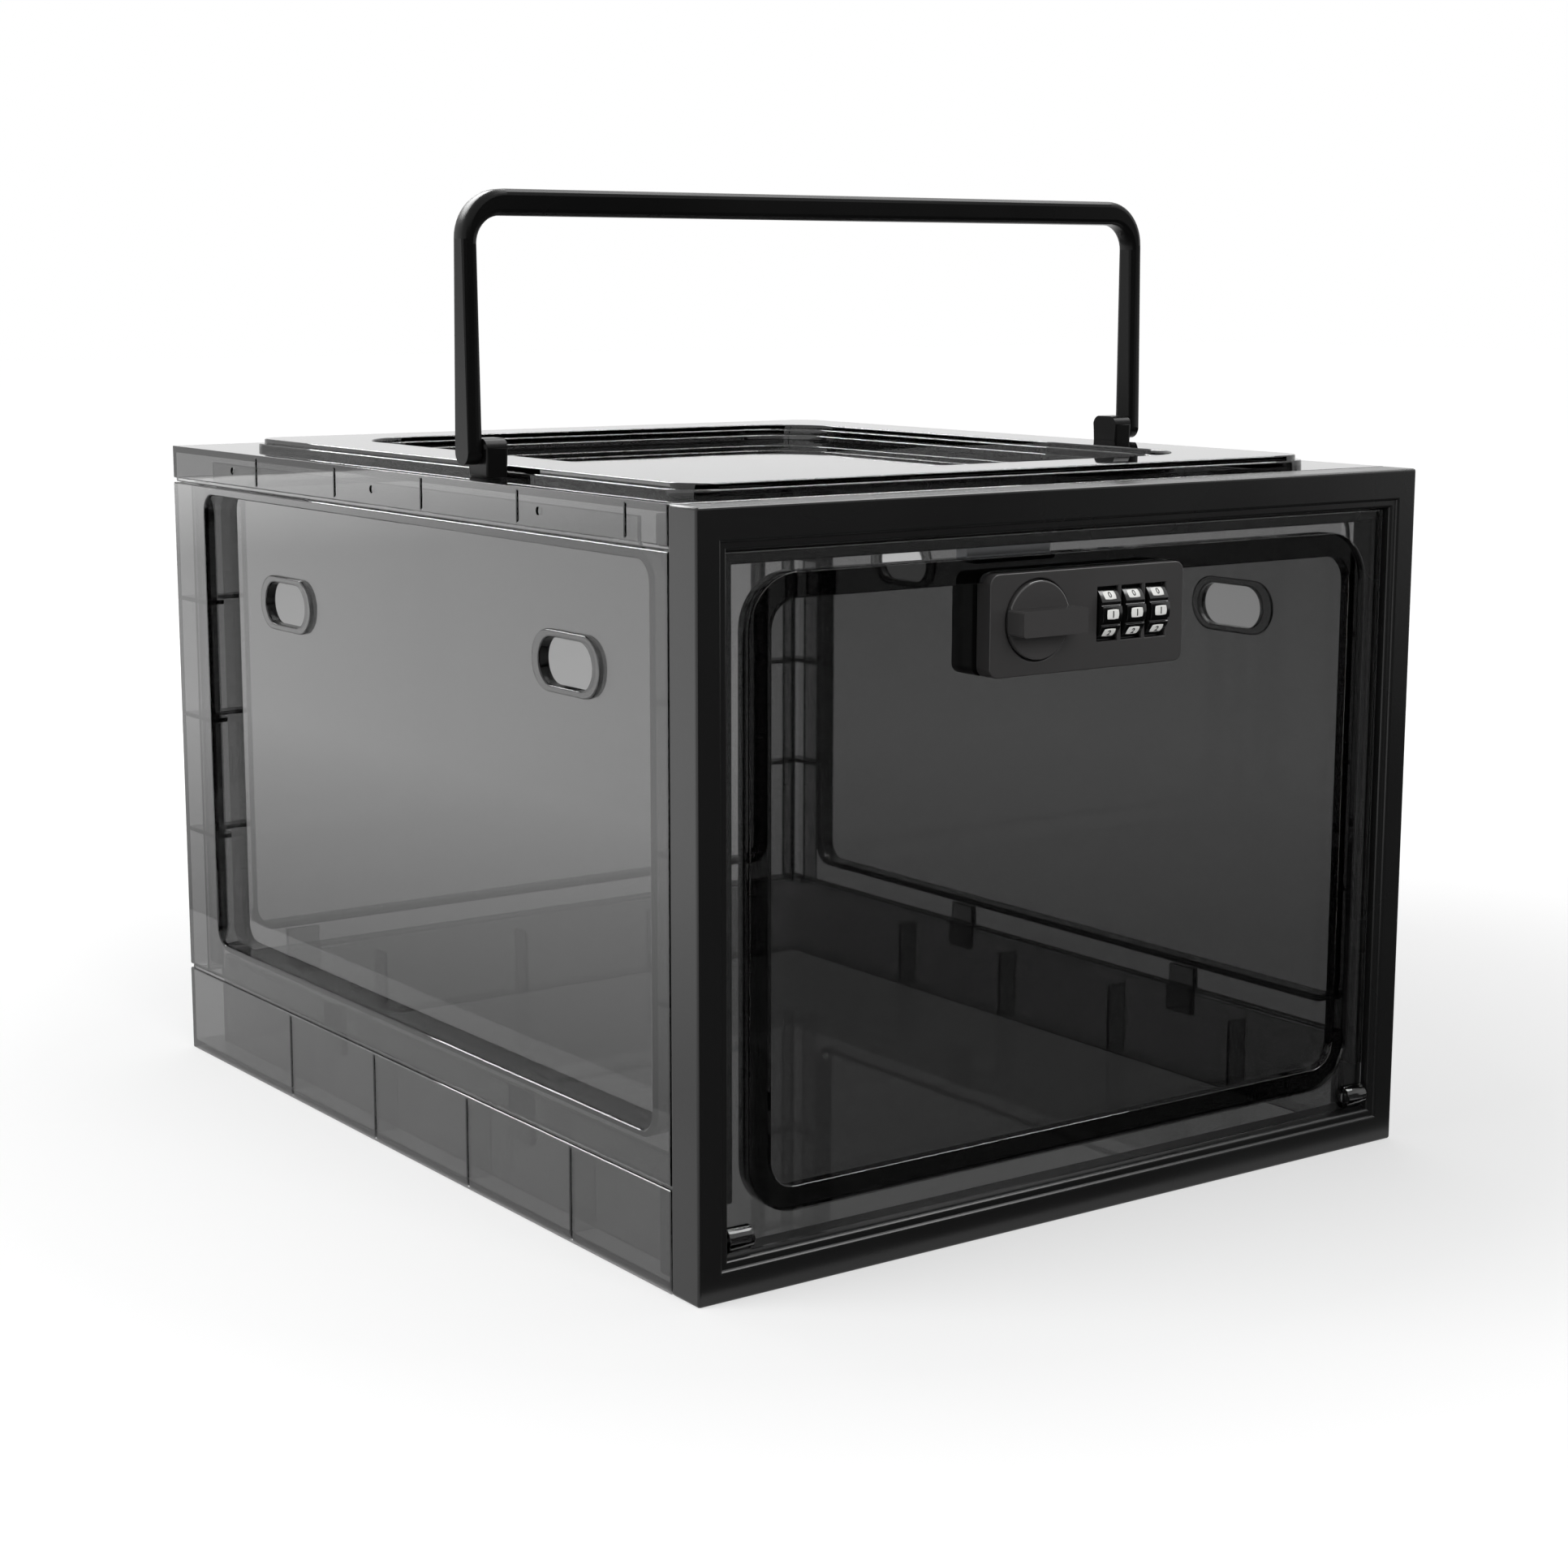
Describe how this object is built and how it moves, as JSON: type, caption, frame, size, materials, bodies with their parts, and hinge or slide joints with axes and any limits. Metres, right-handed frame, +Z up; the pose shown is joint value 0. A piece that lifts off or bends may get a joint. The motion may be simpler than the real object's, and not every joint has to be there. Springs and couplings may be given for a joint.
{
  "type": "lockable storage box",
  "caption": "Smoke-tinted see-through storage box with a black front frame, a drop-down door with a knob and digit-wheel lock, a recessed lid and a folding handle.",
  "frame": {"origin": "centre of the footprint, on the table", "axes": "+X to the right seen from the front, +Y from the door to the back wall, +Z up"},
  "size_m": [0.262, 0.3262, 0.291],
  "materials": {
    "smoke_plastic": "clear smoke-tinted polystyrene, polished mould",
    "black_plastic": "black, satin",
    "lock_plastic": "black, satin",
    "wheel_plastic": "black with white digit patches",
    "zinc_steel": "zinc-plated steel"
  },
  "bodies": {
    "box": {"base_tray": "smoke_plastic", "left_wall": "smoke_plastic", "right_wall": "smoke_plastic", "back_wall": "smoke_plastic", "lid": "smoke_plastic", "front_frame": "black_plastic", "strike_plate": "zinc_steel", "strike_screws": "zinc_steel", "handle_brackets": "black_plastic", "bracket_screws": "zinc_steel", "handle_pins": "zinc_steel", "door_hinge_pins": "black_plastic"},
    "handle": {"handle": "black_plastic"},
    "door": {"door_panel": "smoke_plastic", "lock_face": "lock_plastic", "lock_rear_cover": "lock_plastic", "lock_screws": "zinc_steel", "wheel_axle": "zinc_steel", "detent_spring": "zinc_steel", "locking_bar": "zinc_steel", "reset_spring": "zinc_steel"},
    "wheel_1": {"digit_wheel_1": "wheel_plastic", "code_sleeve_1": "zinc_steel"},
    "wheel_2": {"digit_wheel_2": "wheel_plastic", "code_sleeve_2": "zinc_steel"},
    "wheel_3": {"digit_wheel_3": "wheel_plastic", "code_sleeve_3": "zinc_steel"},
    "knob": {"knob": "lock_plastic", "latch_cam": "zinc_steel", "cam_screw": "zinc_steel"},
    "reset_button": {"reset_button": "lock_plastic"}
  },
  "joints": [
    {"name": "door_hinge", "type": "hinge", "parent": "box", "child": "door", "pos_m": [0, -0.155, 0.0155], "axis": [1, 0, 0], "range_deg": [0, 90]},
    {"name": "handle_swing", "type": "hinge", "parent": "box", "child": "handle", "pos_m": [0, -0.035, 0.2174], "axis": [1, 0, 0], "range_deg": [-90, 90]},
    {"name": "knob_turn", "type": "hinge", "parent": "door", "child": "knob", "pos_m": [-0.0187, -0.159, 0.17425], "axis": [0, -1, 0], "range_deg": [0, 90]},
    {"name": "wheel_1_spin", "type": "hinge", "parent": "door", "child": "wheel_1", "pos_m": [0.007, -0.1526, 0.17425], "axis": [1, 0, 0], "continuous": true},
    {"name": "wheel_2_spin", "type": "hinge", "parent": "door", "child": "wheel_2", "pos_m": [0.016, -0.1526, 0.17425], "axis": [1, 0, 0], "continuous": true},
    {"name": "wheel_3_spin", "type": "hinge", "parent": "door", "child": "wheel_3", "pos_m": [0.025, -0.1526, 0.17425], "axis": [1, 0, 0], "continuous": true},
    {"name": "reset_press", "type": "slide", "parent": "door", "child": "reset_button", "axis": [0, 0, 1], "range_m": [0, 0.001], "stiffness_N_per_m": 300, "springref_m": -0.001, "deforming": ["reset_spring"]}
  ]
}
